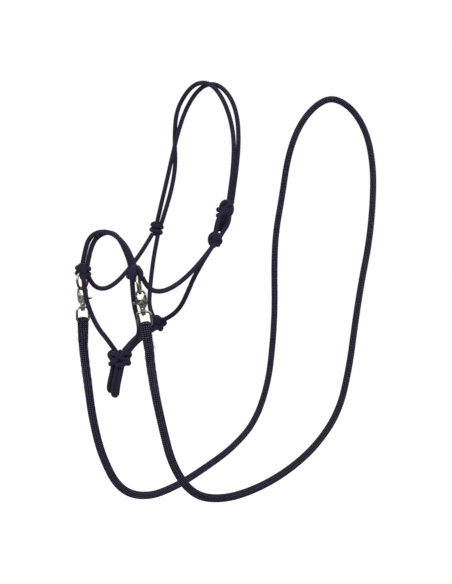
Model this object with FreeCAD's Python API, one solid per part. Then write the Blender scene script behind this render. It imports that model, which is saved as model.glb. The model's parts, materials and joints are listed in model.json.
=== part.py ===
"""Rope halter with clip-on reins, as it sits on a horse's head, in millimetres.

+Z is up, the nose points to -Y, and +X is the horse's left, the side it is led and tied from.
The origin is at the poll: on the middle plane, at the underside of the crown cords.
"right" and "left" in the names are the horse's own.
"""
import FreeCAD
import Part

import math
import os

Vector = FreeCAD.Vector

# ---- driving dimensions -------------------------------------------------------------------
cord_d = 7.0              # halter cord
rein_d = 14.0             # braided rein rope

nose_knot_size = (34.0, 9.0, 2.6)      # length, turn radius, half the row spacing
cheek_knot_size = (27.0, 8.5, 4.0)
loop_knot_size = (28.0, 8.5, 4.4)
throat_knot_size = (27.0, 8.5, 4.6)
tie_knot_size = (34.0, 8.5, 7.0)
fiador_knot_r = 20.0
fiador_knot_h = 29.0

ring_wire_d = 4.0
ring_pitch_r = 15.5       # middle of the ring's wire to the ring's centre
ring_play = 0.4           # room between the ring's wire and the knot that holds it
ring_twist = 20.0         # degrees each way that a ring and its snap turn
twist_room = 5.0          # degrees more, kept free in the knot

eye_bore_r = 5.2          # the hook's eye
hook_wire_r = 2.0
hook_play = 0.3           # the hook's crown above the ring's wire
gate_top_deg = 6.0        # the hook's nose ends here, measured up from the lever side
gate_bottom_deg = -62.0
body_thick = 6.4
trigger_thick = 2.2
trigger_play = 0.2        # each side of the trigger in its slot
gate_gap = 0.35           # between the trigger's tip and the hook's nose
pivot_x = 4.2             # trigger pivot, from the hook eye's centre
pivot_z = -13.0
pin_r = 1.0
pin_play = 0.05
pin_head_r = 1.7
pin_head_h = 0.5
lever_reach = 17.0        # thumb lever's tip from the swivel axis
gate_floor = -7.5         # foot of the eye's open side, from the eye's centre
gate_room = 7.7           # height of the eye's open side
spine_back = 1.9          # the spine behind the middle of the eye's wire
spine_round = 0.9         # on all the spine's edges
spine_foot = 3.6          # half the spine's width at the collar
slot_wall = -1.6          # back wall of the trigger's slot, from the swivel axis
slot_floor = -4.6         # foot of the slot, from the pivot
slot_height = 16.5
spring_r = 0.35           # spring wire

shoulder_z = -22.0        # underside of the hook's body, from the eye's centre
collar_r = 4.0
collar_h = 3.0
stem_r = 2.0
stem_play = 0.05
hub_r = 4.2
hub_h = 5.6
hub_gap = 0.15            # at each end of the hub
rivet_r = 3.4
rivet_h = 2.0

swivel_wire_r = 2.0
swivel_width = 26.0       # outside
swivel_height = 28.0      # outside
swivel_corner_r = 6.0

fold_half_width = 8.2     # the rein rope, pressed flat where it is folded round the bar
fold_half_thick = 2.8
fold_gap = 0.3
splice_drop = 26.0        # bar to the top of the splice
splice_top_r = 8.6
splice_length = 70.0
splice_end_r = 7.2

# ---- where things are ---------------------------------------------------------------------
right_nose = Vector(-64, -240, -334)
left_nose = Vector(64, -240, -334)
right_cheek = Vector(-74, -54, -261)
left_loop = Vector(74, -56, -281)
tie = Vector(74, -29, -227)
throat = Vector(-2, -121, -428)
fiador = Vector(0, -217, -479)

# A ring's top hangs here in its nose knot; the swivel axis runs from it, up along "axis".
# "lever" is the level direction of the trigger's lever, and the turns are about the axis.
right_hang = {
    "top": Vector(-66, -240, -334),
    "axis": Vector(0, 0, 1),
    "lever": Vector(0.766, 0.643, 0),
    "ring_turn": -24.0,
    "swivel_turn": 35.0,
}
left_hang = {
    "top": Vector(68, -240, -335.5),
    "axis": Vector(-0.015, -0.187, 0.982),
    "lever": Vector(-0.766, -0.643, 0),
    "ring_turn": 0.0,
    "swivel_turn": 0.0,
}

routes = {
    "crown_cord_front": [
        (-68, -48, -253), (-62, -41, -225), (-56, -30, -183), (-56, -20, -140),
        (-68, -11, -90), (-65, -9, -40), (-40, -8, -7), (-14, -6, 8), (18, -5, 3),
        (45, -5, -24), (65, -6, -62), (77, -9, -104), (79, -14, -152), (78, -21, -194),
        (77, -25, -216),
    ],
    "crown_cord_back": [
        (-77, -50, -251), (-74, -43, -220), (-66, -35, -174), (-58, -28, -128),
        (-58, -13, -84), (-50, -1, -40), (-28, 4, -8), (1, 5, 6), (32, 5, -1),
        (60, 4, -27), (77, 1, -64), (82, -2, -110), (81, -7, -154), (80, -14, -194),
        (79, -18, -217),
    ],
    "noseband_cord_upper": [
        (-68, -239, -328), (-62, -238, -303), (-50, -239, -279), (-27, -240, -268),
        (3, -239, -268), (28, -239, -280), (50, -239, -300), (63, -239, -327),
    ],
    "noseband_cord_lower": [
        (-62, -233, -328), (-58, -231, -304), (-44, -231, -280), (-18, -231, -268),
        (7, -231, -271), (24, -232, -286), (38, -235, -303), (50, -239, -318),
        (57, -243, -330),
    ],
    "right_cheek_cord": [
        (-60, -234, -339), (-62, -224, -358), (-66, -194, -369), (-69, -160, -358),
        (-72, -122, -330), (-75, -87, -299), (-77, -62, -271),
    ],
    "left_cheek_cord": [
        (67, -228, -341), (68, -217, -360), (70, -191, -367), (73, -161, -359),
        (76, -131, -342), (79, -97, -316), (78, -66, -290),
    ],
    "right_throat_cord": [
        (-71, -53, -271), (-69, -66, -309), (-60, -82, -345), (-48, -99, -378),
        (-35, -113, -405), (-14, -122, -420),
    ],
    "left_throat_cord": [
        (71, -60, -291), (72, -76, -306), (71, -90, -322), (66, -106, -348),
        (56, -111, -374), (42, -113, -398), (24, -118, -415), (8, -122, -422),
    ],
    "right_chin_cord": [
        (-56, -246, -341), (-54, -246, -370), (-46, -242, -400), (-31, -238, -428),
        (-14, -229, -450), (-5, -221, -468),
    ],
    "left_chin_cord": [
        (60, -244, -342), (54, -237, -363), (49, -229, -389), (50, -221, -414),
        (45, -214, -434), (27, -211, -452), (10, -213, -469),
    ],
    "throat_cord_upper": [
        (-5, -128, -428), (-7, -150, -436), (-4, -171, -446), (-1, -190, -455),
        (-1, -206, -467),
    ],
    "throat_cord_lower": [
        (0, -126, -434), (-2, -147, -443), (1, -168, -453), (4, -186, -460),
        (5, -201, -471),
    ],
    "tie_loop": [
        (74, -58, -273), (75, -55, -256), (75, -47, -240), (77, -39, -229),
        (81, -32, -228), (83, -29, -239), (82, -32, -254), (79, -41, -266),
        (77, -48, -276),
    ],
    "lead_loop_right": [
        (-11, -221, -488), (-13, -222, -504), (-16, -224, -520), (-17, -225, -535),
        (-10, -219, -536), (-8, -218, -520), (-6, -216, -504), (-5, -215, -488),
    ],
    "lead_loop_left": [
        (1, -222, -487), (-1, -224, -506), (-4, -226, -525), (-5, -227, -541),
        (2, -221, -542), (4, -220, -525), (5, -218, -506), (7, -217, -487),
    ],
}

rein_route = [
    (-66, -238, -480), (-65, -231, -535), (-65, -221, -597), (-65, -201, -664),
    (-67, -159, -734), (-71, -87, -766), (-77, 0, -767), (-84, 95, -752),
    (-90, 190, -731), (-93, 272, -690), (-95, 322, -612), (-96, 341, -522),
    (-95, 347, -435), (-92, 340, -352), (-89, 340, -270), (-81, 354, -185),
    (-68, 356, -100), (-48, 368, -32), (-21, 392, 15), (6, 424, 36), (31, 469, 13),
    (54, 496, -42), (74, 491, -122), (87, 467, -208), (95, 438, -292), (99, 401, -375),
    (101, 373, -462), (102, 350, -554), (103, 310, -643), (101, 230, -700),
    (99, 136, -731), (96, 40, -748), (94, -57, -748), (90, -137, -724),
    (84, -178, -658), (78, -196, -587), (71, -209, -517), (69, -216, -464),
]


def say_volume(name, solid, section, length):
    share = solid.Volume / (section * length)
    print(f"  {name}: volume is {share:.3f} of section times length")


def route_wire(points):
    """Straight runs joined by tangent arcs. Returns the wire and the arcs' radii."""
    corners = [Vector(*p) for p in points]
    edges = []
    radii = []
    start = corners[0]
    for before, corner, after in zip(corners, corners[1:], corners[2:]):
        run_in = corner - before
        run_out = after - corner
        half_turn = run_in.getAngle(run_out) / 2
        reach = 0.45 * min(run_in.Length, run_out.Length)
        radius = reach / math.tan(half_turn)
        way_in = run_in.normalize()
        way_out = run_out.normalize()
        arc_start = corner - way_in * reach
        arc_end = corner + way_out * reach
        inward = (way_out - way_in).normalize()
        depth = radius / math.cos(half_turn) - radius
        edges.append(Part.LineSegment(start, arc_start).toShape())
        edges.append(Part.Arc(arc_start, corner + inward * depth, arc_end).toShape())
        radii.append(radius)
        start = arc_end
    edges.append(Part.LineSegment(start, corners[-1]).toShape())
    return Part.Wire(edges), radii


def tube(name, points, diameter):
    """A round cord along a route."""
    wire, radii = route_wire(points)
    first = Vector(*points[0])
    along = (Vector(*points[1]) - first).normalize()
    circle = Part.Wire([Part.Circle(first, along, diameter / 2).toShape()])
    solid = wire.makePipeShell([circle], True, False)
    tightest = min(radii)
    turns = ", ".join(f"{r:.0f}" for r in radii)
    print(f"{name}: {wire.Length:.0f} mm long, tightest radius {tightest:.1f} mm ({turns})")
    say_volume(name, solid, math.pi * (diameter / 2) ** 2, wire.Length)
    return solid


def rounded_barrel(centre, way, length, radius):
    """One row of a knot's turns: a cylinder with well rounded ends."""
    barrel = Part.makeCylinder(radius, length, centre - way * (length / 2), way)
    ends = [e for e in barrel.Edges if isinstance(e.Curve, Part.Circle)]
    return barrel.makeFillet(min(radius, length / 2) * 0.6, ends)


def two_row_knot(centre, size, way, stack):
    """Two rows of turns, one on the other along "stack"."""
    length, radius, spacing = size
    upper = rounded_barrel(centre + stack * spacing, way, length * 0.94, radius)
    lower = rounded_barrel(centre - stack * spacing, way, length, radius)
    return upper.fuse(lower).removeSplitter()


def unit(x, y, z):
    return Vector(x, y, z).normalize()


# ---- metal hardware, drawn hanging from (0, 0, 0) along -Z, lever to +X ---------------------
ring_wire_r = ring_wire_d / 2
ring_bottom = -2 * ring_pitch_r
eye_z = ring_bottom + ring_wire_r + hook_play - eye_bore_r     # the hook eye's centre
hook_pitch_r = eye_bore_r + hook_wire_r
collar_top = eye_z + shoulder_z
hub_top = collar_top - collar_h - hub_gap
hub_bottom = hub_top - hub_h
rivet_top = hub_bottom - hub_gap
swivel_top = (hub_top + hub_bottom) / 2 + swivel_wire_r
swivel_bar = swivel_top - swivel_height + swivel_wire_r        # middle of the lower bar
slot_half = trigger_thick / 2 + trigger_play
pivot = Vector(pivot_x, 0, eye_z + pivot_z)
Y_AXIS = Vector(0, 1, 0)
Z_AXIS = Vector(0, 0, 1)


def plate(outline, thickness, edge_r=0.0):
    """An outline in the XZ plane, as thick as said, centred on it."""
    corners = [Vector(x, -thickness / 2, z) for x, z in outline]
    face = Part.Face(Part.makePolygon(corners + corners[:1]))
    solid = face.extrude(Vector(0, thickness, 0))
    if edge_r:
        solid = solid.makeFillet(edge_r, solid.Edges)
    return solid


def y_cylinder(radius, length, x, z):
    return Part.makeCylinder(radius, length, Vector(x, -length / 2, z), Y_AXIS)


def make_ring():
    centre = Vector(0, 0, -ring_pitch_r)
    return Part.makeTorus(ring_pitch_r, ring_wire_r, centre, Vector(1, 0, 0))


def make_ring_path(turn):
    """What the ring sweeps as it twists: parts of a shell in a double wedge, and its wire."""
    centre = Vector(0, 0, -ring_pitch_r)
    room = ring_wire_r + ring_play
    spread = ring_twist + twist_room
    reach = 2 * ring_pitch_r
    swept = []
    for middle in (90, 270):
        low = math.radians(middle + turn - spread)
        high = math.radians(middle + turn + spread)
        corners = [
            Vector(0, 0, -reach),
            Vector(reach * math.cos(low), reach * math.sin(low), -reach),
            Vector(reach * math.cos(high), reach * math.sin(high), -reach),
        ]
        face = Part.Face(Part.makePolygon(corners + corners[:1]))
        shell = Part.makeSphere(ring_pitch_r + room, centre)
        shell = shell.cut(Part.makeSphere(ring_pitch_r - room, centre))
        swept.append(shell.common(face.extrude(Vector(0, 0, 2 * reach))))
    for step in (-1, 0, 1):
        wire = Part.makeTorus(ring_pitch_r, room * 1.01, centre, Vector(1, 0, 0))
        wire.rotate(Vector(0, 0, 0), Z_AXIS, turn + step * spread)
        swept.append(wire)
    return swept


def make_hook():
    """The snap's cast body: open eye, slotted spine, collar, stem and rivet head."""
    start = math.radians(gate_top_deg)
    sweep = 360 - gate_top_deg + gate_bottom_deg
    middle = Vector(0, 0, eye_z)
    tip = middle + Vector(math.cos(start), 0, math.sin(start)) * hook_pitch_r
    along = Vector(-math.sin(start), 0, math.cos(start))
    section = Part.Face(Part.Wire([Part.Circle(tip, along, hook_wire_r).toShape()]))
    eye = section.revolve(middle, Vector(0, -1, 0), sweep)
    nose = Part.makeSphere(hook_wire_r, tip)
    spine = plate(
        [
            (-hook_pitch_r - spine_back, eye_z + 1.0),
            (-hook_pitch_r - spine_back + 0.7, eye_z + shoulder_z + 6.0),
            (-spine_foot, collar_top - 0.5),
            (spine_foot, collar_top - 0.5),
            (pivot_x + 2.6, pivot.z - 2.2),
            (pivot_x + 3.2, pivot.z + 1.4),
            (3.4, eye_z - 6.4),
            (-4.2, eye_z - 5.6),
        ],
        body_thick,
        spine_round,
    )
    collar = Part.makeCylinder(collar_r, collar_h + 2, Vector(0, 0, collar_top - collar_h))
    stem_length = collar_h + hub_h + 2 * hub_gap + 0.5
    stem = Part.makeCylinder(stem_r, stem_length, Vector(0, 0, rivet_top - 0.5))
    rivet = Part.makeCylinder(rivet_r, rivet_h, Vector(0, 0, rivet_top - rivet_h))
    rivet = rivet.makeFillet(0.8, [rivet.Edges[2]])
    solid = eye.fuse([nose, spine, collar, stem, rivet])
    solid = solid.cut(y_cylinder(eye_bore_r, 20, 0, eye_z))
    slot_corner = Vector(slot_wall, -slot_half, pivot.z + slot_floor)
    solid = solid.cut(Part.makeBox(20, 2 * slot_half, slot_height, slot_corner))
    gate_corner = Vector(eye_bore_r - 0.2, -10, eye_z + gate_floor)
    solid = solid.cut(Part.makeBox(20, 20, gate_room, gate_corner))
    return solid.cut(y_cylinder(pin_r, 20, pivot.x, pivot.z))


def make_trigger():
    """Gate arm and thumb lever in one, bored for its pin."""
    tip_top = eye_z + math.sin(math.radians(gate_top_deg)) * hook_pitch_r
    tip_top = tip_top - hook_wire_r - gate_gap
    outline = [
        (pivot_x - 2.0, pivot.z - 1.6),
        (pivot_x + 1.4, pivot.z - 2.3),
        (lever_reach - 4.5, pivot.z - 0.9),
        (lever_reach, pivot.z + 1.0),
        (lever_reach - 0.6, pivot.z + 2.6),
        (lever_reach - 5.0, pivot.z + 1.4),
        (pivot_x + 4.6, pivot.z + 3.0),
        (hook_pitch_r + 1.7, tip_top),
        (hook_pitch_r - 1.4, tip_top),
        (pivot_x - 1.4, pivot.z + 2.4),
    ]
    arm = plate(outline, trigger_thick, 0.4)
    return arm.cut(y_cylinder(pin_r + pin_play, 20, pivot.x, pivot.z))


def make_trigger_pin():
    length = body_thick + 2 * pin_head_h
    pin = y_cylinder(pin_r, length, pivot.x, pivot.z)
    heads = []
    for side in (-1, 1):
        base = Vector(pivot.x, side * body_thick / 2, pivot.z)
        heads.append(Part.makeCylinder(pin_head_r, pin_head_h, base, Y_AXIS * side))
    return pin.fuse(heads)


def make_trigger_spring():
    """A bent leaf of spring wire in the slot, from the spine to just under the arm."""
    points = [
        (-0.6, 0, pivot.z - 3.6),
        (0.4, 0, pivot.z - 1.4),
        (0.5, 0, pivot.z + 1.4),
        (-0.7, 0, pivot.z + 3.6),
    ]
    wire, _ = route_wire(points)
    first = Vector(*points[0])
    along = (Vector(*points[1]) - first).normalize()
    circle = Part.Wire([Part.Circle(first, along, spring_r).toShape()])
    return wire.makePipeShell([circle], True, False)


def make_swivel():
    """The swivel's hub and the wire loop that the rein is folded round."""
    half = swivel_width / 2 - swivel_wire_r
    top = swivel_top - swivel_wire_r
    r = swivel_corner_r
    bend = r * (1 - math.sqrt(0.5))
    corners = [(-half, top), (-half, swivel_bar), (half, swivel_bar), (half, top)]
    edges = []
    count = len(corners)
    for i, (x, z) in enumerate(corners):
        bx, bz = corners[i - 1]
        ax, az = corners[(i + 1) % count]
        way_in = Vector(x - bx, 0, z - bz).normalize()
        way_out = Vector(ax - x, 0, az - z).normalize()
        corner = Vector(x, 0, z)
        inner = (way_out - way_in) * bend
        arc_end = corner + way_out * r
        edges.append(Part.Arc(corner - way_in * r, corner + inner, arc_end).toShape())
        line_end = Vector(ax, 0, az) - way_out * r
        edges.append(Part.LineSegment(arc_end, line_end).toShape())
    path = Part.Wire(edges)
    start = Vector(-half + r, 0, top)
    section = Part.Wire([Part.Circle(start, Vector(-1, 0, 0), swivel_wire_r).toShape()])
    loop = path.makePipeShell([section], True, False)
    hub = Part.makeCylinder(hub_r, hub_h, Vector(0, 0, hub_bottom))
    rims = [e for e in hub.Edges if isinstance(e.Curve, Part.Circle)]
    hub = hub.makeFillet(0.6, rims)
    bore = Part.makeCylinder(stem_r + stem_play, 20, Vector(0, 0, hub_bottom - 7))
    return loop.fuse(hub).cut(bore)


def flat_section(centre):
    """The rope's outline where it is pressed flat, level, with its width along X."""
    wide = centre + Vector(fold_half_width, 0, 0)
    thick = centre + Vector(0, fold_half_thick, 0)
    return Part.Wire([Part.Ellipse(wide, thick, centre).toShape()])


def make_rein_eye():
    """The rein's end, folded round the swivel's bar and spliced back into itself."""
    pitch = swivel_wire_r + fold_gap + fold_half_thick
    over = Part.Arc(
        Vector(0, -pitch, swivel_bar),
        Vector(0, 0, swivel_bar + pitch),
        Vector(0, pitch, swivel_bar),
    ).toShape()
    top = swivel_bar - splice_drop
    section = flat_section(Vector(0, -pitch, swivel_bar))
    fold = Part.Wire([over]).makePipeShell([section], True, False)
    for side in (-1, 1):
        leg_top = flat_section(Vector(0, side * pitch, swivel_bar))
        leg_end = Vector(0, side * (splice_top_r - fold_half_thick) * 0.8, top - 2)
        fold = fold.fuse(Part.makeLoft([leg_top, flat_section(leg_end)], True, True))
    splice = Part.makeCone(
        splice_end_r, splice_top_r, splice_length, Vector(0, 0, top - splice_length)
    )
    return fold.fuse(splice)


def hang(solid, side, turn=0.0):
    """Turns a drawn piece about its own axis and hangs it on the halter."""
    placed = solid.copy()
    placed.rotate(Vector(0, 0, 0), Z_AXIS, turn)
    up = Vector(side["axis"]).normalize()
    lever = side["lever"] - up * side["lever"].dot(up)
    lever.normalize()
    across = up.cross(lever)
    top = side["top"]
    placed.Placement = FreeCAD.Placement(
        FreeCAD.Matrix(
            lever.x, across.x, up.x, top.x,
            lever.y, across.y, up.y, top.y,
            lever.z, across.z, up.z, top.z,
            0, 0, 0, 1,
        )
    ).multiply(placed.Placement)
    return placed


# ---- the nodes ------------------------------------------------------------------------------
nodes = {}
for cord_name, cord_points in routes.items():
    nodes[cord_name] = tube(cord_name, cord_points, cord_d)
nodes["rein_rope"] = tube("rein_rope", rein_route, rein_d)

sideways = unit(0, 1, 0)
nodes["right_cheek_knot"] = two_row_knot(
    right_cheek, cheek_knot_size, unit(-0.2, 0.97, 0.1), unit(0, -0.1, 1)
)
nodes["left_loop_knot"] = two_row_knot(
    left_loop, loop_knot_size, unit(0.2, 0.97, 0.1), unit(0, -0.1, 1)
)
nodes["throat_knot"] = two_row_knot(
    throat, throat_knot_size, unit(0.75, 0.6, -0.3), unit(0.1, 0.3, 0.95)
)
nodes["crown_tie_knot"] = two_row_knot(tie, tie_knot_size, unit(0.35, 0.93, 0), Z_AXIS)

fiador_body = Part.makeCylinder(
    fiador_knot_r, fiador_knot_h, fiador - Z_AXIS * (fiador_knot_h / 2)
)
fiador_rims = [e for e in fiador_body.Edges if isinstance(e.Curve, Part.Circle)]
nodes["fiador_knot"] = fiador_body.makeFillet(fiador_knot_h * 0.42, fiador_rims)

for side_name, side, nose_centre in (
    ("right", right_hang, right_nose),
    ("left", left_hang, left_nose),
):
    knot = two_row_knot(nose_centre, nose_knot_size, sideways, Z_AXIS)
    for swept in make_ring_path(side["ring_turn"]):
        knot = knot.cut(hang(swept, side))
    nodes[f"{side_name}_nose_knot"] = knot
    nodes[f"{side_name}_ring"] = hang(make_ring(), side, side["ring_turn"])
    nodes[f"{side_name}_snap_hook"] = hang(make_hook(), side)
    nodes[f"{side_name}_snap_trigger"] = hang(make_trigger(), side)
    nodes[f"{side_name}_trigger_pin"] = hang(make_trigger_pin(), side)
    nodes[f"{side_name}_trigger_spring"] = hang(make_trigger_spring(), side)
    nodes[f"{side_name}_swivel_eye"] = hang(make_swivel(), side, side["swivel_turn"])
    nodes[f"{side_name}_rein_eye"] = hang(make_rein_eye(), side, side["swivel_turn"])

os.makedirs("parts", exist_ok=True)
for node_name, node_shape in nodes.items():
    solids = node_shape.Solids
    whole = solids[0] if len(solids) == 1 else Part.makeCompound(solids)
    whole.exportStep(f"parts/{node_name}.step")
    box = whole.BoundBox
    print(
        f"{node_name}: {len(solids)} solid, valid {whole.isValid()}, {whole.Volume:.0f} mm3, "
        f"{box.XLength:.0f} x {box.YLength:.0f} x {box.ZLength:.0f}"
    )
print(len(nodes), "nodes")
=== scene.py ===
# %% [markdown]
# # A rope halter with a clip-on rein
# A rope halter is knotted from one thin braided cord. Two rings hang in its nose knots, and a
# thick braided rein is clipped to them with swivel trigger snaps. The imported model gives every
# piece's place, so this script loads it first and draws the finished pieces around it.

import json
import math

import bmesh
import bpy
from mathutils import Matrix, Vector


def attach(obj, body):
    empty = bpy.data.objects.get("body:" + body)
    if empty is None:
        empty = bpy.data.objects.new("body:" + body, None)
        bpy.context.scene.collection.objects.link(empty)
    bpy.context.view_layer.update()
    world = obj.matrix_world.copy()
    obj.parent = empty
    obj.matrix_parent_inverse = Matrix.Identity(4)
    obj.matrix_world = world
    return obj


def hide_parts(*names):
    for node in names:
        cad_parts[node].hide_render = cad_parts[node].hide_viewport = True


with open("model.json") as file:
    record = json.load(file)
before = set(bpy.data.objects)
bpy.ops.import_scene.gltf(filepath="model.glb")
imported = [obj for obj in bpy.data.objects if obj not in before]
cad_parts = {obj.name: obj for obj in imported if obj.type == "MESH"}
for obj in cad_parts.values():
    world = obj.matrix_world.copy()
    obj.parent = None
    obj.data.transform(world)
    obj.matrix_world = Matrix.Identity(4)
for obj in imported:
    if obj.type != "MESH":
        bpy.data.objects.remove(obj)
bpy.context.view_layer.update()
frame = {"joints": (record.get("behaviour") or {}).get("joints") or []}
MM = 0.001

# %% [markdown]
# ## The camera
# The halter is seen from the horse's left and slightly above the nose. A direction is easier to
# think about as two angles, so the camera is turned by its azimuth and elevation.

# %% Place the camera
AZIMUTH = math.radians(40)
ELEVATION = math.radians(4)
away = Vector((
    math.sin(AZIMUTH) * math.cos(ELEVATION),
    -math.cos(AZIMUTH) * math.cos(ELEVATION),
    math.sin(ELEVATION),
))
camera_data = bpy.data.cameras.new("camera")
camera_data.lens = 49.3
camera_data.clip_end = 50
camera = bpy.data.objects.new("camera", camera_data)
camera.location = (0.991, -1.121, -0.275)
camera.rotation_mode = "QUATERNION"
camera.rotation_quaternion = (-away).to_track_quat("-Z", "Y")
bpy.context.scene.collection.objects.link(camera)
bpy.context.scene.camera = camera
print("camera at", tuple(camera.location))

# %% [markdown]
# ## Where the cords run
# A cord's line is a smooth spline. Its control points are listed, one list for each cord. Most
# are the places that the model's tubes turn at. The lead loops are moved by up to 4.2 mm, the
# lower throat cord by 2.2 mm, and three points of the rein by up to 7.6 mm.

# %% The cords' routes
ROUTES = {
    "crown_cord_front": [
        (-0.068, -0.048, -0.253), (-0.062, -0.041, -0.225), (-0.056, -0.030, -0.183),
        (-0.056, -0.020, -0.140), (-0.068, -0.011, -0.090), (-0.065, -0.009, -0.040),
        (-0.040, -0.008, -0.007), (-0.014, -0.006, 0.008), (0.018, -0.005, 0.003),
        (0.045, -0.005, -0.024), (0.065, -0.006, -0.062), (0.077, -0.009, -0.104),
        (0.079, -0.014, -0.152), (0.078, -0.021, -0.194), (0.077, -0.025, -0.216),
    ],
    "crown_cord_back": [
        (-0.077, -0.050, -0.251), (-0.074, -0.043, -0.220), (-0.066, -0.035, -0.174),
        (-0.058, -0.028, -0.128), (-0.058, -0.013, -0.084), (-0.050, -0.001, -0.040),
        (-0.028, 0.004, -0.008), (0.001, 0.005, 0.006), (0.032, 0.005, -0.001),
        (0.060, 0.004, -0.027), (0.077, 0.001, -0.064), (0.082, -0.002, -0.110),
        (0.081, -0.007, -0.154), (0.080, -0.014, -0.194), (0.079, -0.018, -0.217),
    ],
    "noseband_cord_upper": [
        (-0.068, -0.239, -0.328), (-0.062, -0.238, -0.303), (-0.050, -0.239, -0.279),
        (-0.027, -0.240, -0.268), (0.003, -0.239, -0.268), (0.028, -0.239, -0.280),
        (0.050, -0.239, -0.300), (0.063, -0.239, -0.327),
    ],
    "noseband_cord_lower": [
        (-0.062, -0.233, -0.328), (-0.058, -0.231, -0.304), (-0.044, -0.231, -0.280),
        (-0.018, -0.231, -0.268), (0.007, -0.231, -0.271), (0.024, -0.232, -0.286),
        (0.038, -0.235, -0.303), (0.050, -0.239, -0.318), (0.057, -0.243, -0.330),
    ],
    "right_cheek_cord": [
        (-0.060, -0.234, -0.339), (-0.062, -0.224, -0.358), (-0.066, -0.194, -0.369),
        (-0.069, -0.160, -0.358), (-0.072, -0.122, -0.330), (-0.075, -0.087, -0.299),
        (-0.077, -0.062, -0.271),
    ],
    "left_cheek_cord": [
        (0.067, -0.228, -0.341), (0.068, -0.217, -0.360), (0.070, -0.191, -0.367),
        (0.073, -0.161, -0.359), (0.076, -0.131, -0.342), (0.079, -0.097, -0.316),
        (0.078, -0.066, -0.290),
    ],
    "right_throat_cord": [
        (-0.071, -0.053, -0.271), (-0.069, -0.066, -0.309), (-0.060, -0.082, -0.345),
        (-0.048, -0.099, -0.378), (-0.035, -0.113, -0.405), (-0.014, -0.122, -0.420),
    ],
    "left_throat_cord": [
        (0.071, -0.060, -0.291), (0.072, -0.076, -0.306), (0.071, -0.090, -0.322),
        (0.066, -0.106, -0.348), (0.056, -0.111, -0.374), (0.042, -0.113, -0.398),
        (0.024, -0.118, -0.415), (0.008, -0.122, -0.422),
    ],
    "right_chin_cord": [
        (-0.056, -0.246, -0.341), (-0.054, -0.246, -0.370), (-0.046, -0.242, -0.400),
        (-0.031, -0.238, -0.428), (-0.014, -0.229, -0.450), (-0.005, -0.221, -0.468),
    ],
    "left_chin_cord": [
        (0.060, -0.244, -0.342), (0.054, -0.237, -0.363), (0.049, -0.229, -0.389),
        (0.050, -0.221, -0.414), (0.045, -0.214, -0.434), (0.027, -0.211, -0.452),
        (0.010, -0.213, -0.469),
    ],
    "throat_cord_upper": [
        (-0.005, -0.128, -0.428), (-0.007, -0.150, -0.436), (-0.004, -0.171, -0.446),
        (-0.001, -0.190, -0.455), (-0.001, -0.206, -0.467),
    ],
    "throat_cord_lower": [
        (0.000, -0.126, -0.434), (-0.003, -0.147, -0.442), (-0.001, -0.168, -0.452),
        (0.003, -0.186, -0.459), (0.004, -0.201, -0.470),
    ],
    "tie_loop": [
        (0.074, -0.058, -0.273), (0.075, -0.055, -0.256), (0.075, -0.047, -0.240),
        (0.077, -0.039, -0.229), (0.081, -0.032, -0.228), (0.083, -0.029, -0.239),
        (0.082, -0.032, -0.254), (0.079, -0.041, -0.266), (0.077, -0.048, -0.276),
    ],
    "lead_loop_right": [
        (-0.011, -0.221, -0.488), (-0.0135, -0.2225, -0.504), (-0.017, -0.225, -0.520),
        (-0.0183, -0.2261, -0.535), (-0.0126, -0.2213, -0.536), (-0.0114, -0.2203, -0.520),
        (-0.0076, -0.2175, -0.504), (-0.005, -0.215, -0.488),
    ],
    "lead_loop_left": [
        (0.001, -0.222, -0.487), (-0.0018, -0.2245, -0.506), (-0.005, -0.227, -0.525),
        (-0.0062, -0.228, -0.541), (-0.0006, -0.2233, -0.542), (0.0005, -0.2224, -0.525),
        (0.004, -0.2195, -0.506), (0.007, -0.217, -0.487),
    ],
}
REIN_ROUTE = [
    (-0.066, -0.238, -0.480), (-0.065, -0.231, -0.535), (-0.065, -0.221, -0.597),
    (-0.065, -0.201, -0.664), (-0.067, -0.159, -0.734), (-0.071, -0.087, -0.766),
    (-0.077, 0.000, -0.767), (-0.084, 0.095, -0.752), (-0.090, 0.190, -0.731),
    (-0.093, 0.272, -0.690), (-0.095, 0.322, -0.612), (-0.096, 0.341, -0.522),
    (-0.095, 0.347, -0.435), (-0.092, 0.340, -0.352), (-0.089, 0.340, -0.270),
    (-0.081, 0.354, -0.185), (-0.068, 0.356, -0.100), (-0.048, 0.368, -0.032),
    (-0.021, 0.392, 0.015), (0.006, 0.424, 0.036), (0.031, 0.469, 0.013), (0.054, 0.496, -0.042),
    (0.074, 0.491, -0.122), (0.087, 0.467, -0.208), (0.095, 0.438, -0.292),
    (0.099, 0.401, -0.375), (0.101, 0.373, -0.462), (0.102, 0.350, -0.554),
    (0.103, 0.310, -0.643), (0.101, 0.230, -0.700), (0.099, 0.136, -0.731),
    (0.096, 0.040, -0.745), (0.094, -0.057, -0.742), (0.090, -0.134, -0.717),
    (0.084, -0.178, -0.658), (0.078, -0.196, -0.587), (0.071, -0.209, -0.517),
    (0.069, -0.216, -0.464),
]
print(len(ROUTES), "halter cords and one rein")
# %% [markdown]
# ## A smooth line through a route
# A NURBS spline of order 3 rounds every corner by itself. Its order is set after the points are
# there. A mesh made from the bare curve gives its line as a chain of points, and walking along
# that chain in equal steps gives the places for a braid's rings.

# %% Spline and even steps
def spline_line(points):
    """The smooth line through a route, as a list of close points."""
    curve = bpy.data.curves.new("line", "CURVE")
    curve.dimensions = "3D"
    spline = curve.splines.new("NURBS")
    spline.points.add(len(points) - 1)
    for knot, place in zip(spline.points, points):
        knot.co = (*place, 1)
    spline.order_u = 3
    spline.use_endpoint_u = True
    spline.resolution_u = 24
    holder = bpy.data.objects.new("line", curve)
    mesh = bpy.data.meshes.new_from_object(holder)
    line = [v.co.copy() for v in mesh.vertices]
    bpy.data.objects.remove(holder)
    bpy.data.curves.remove(curve)
    bpy.data.meshes.remove(mesh)
    return line


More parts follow.
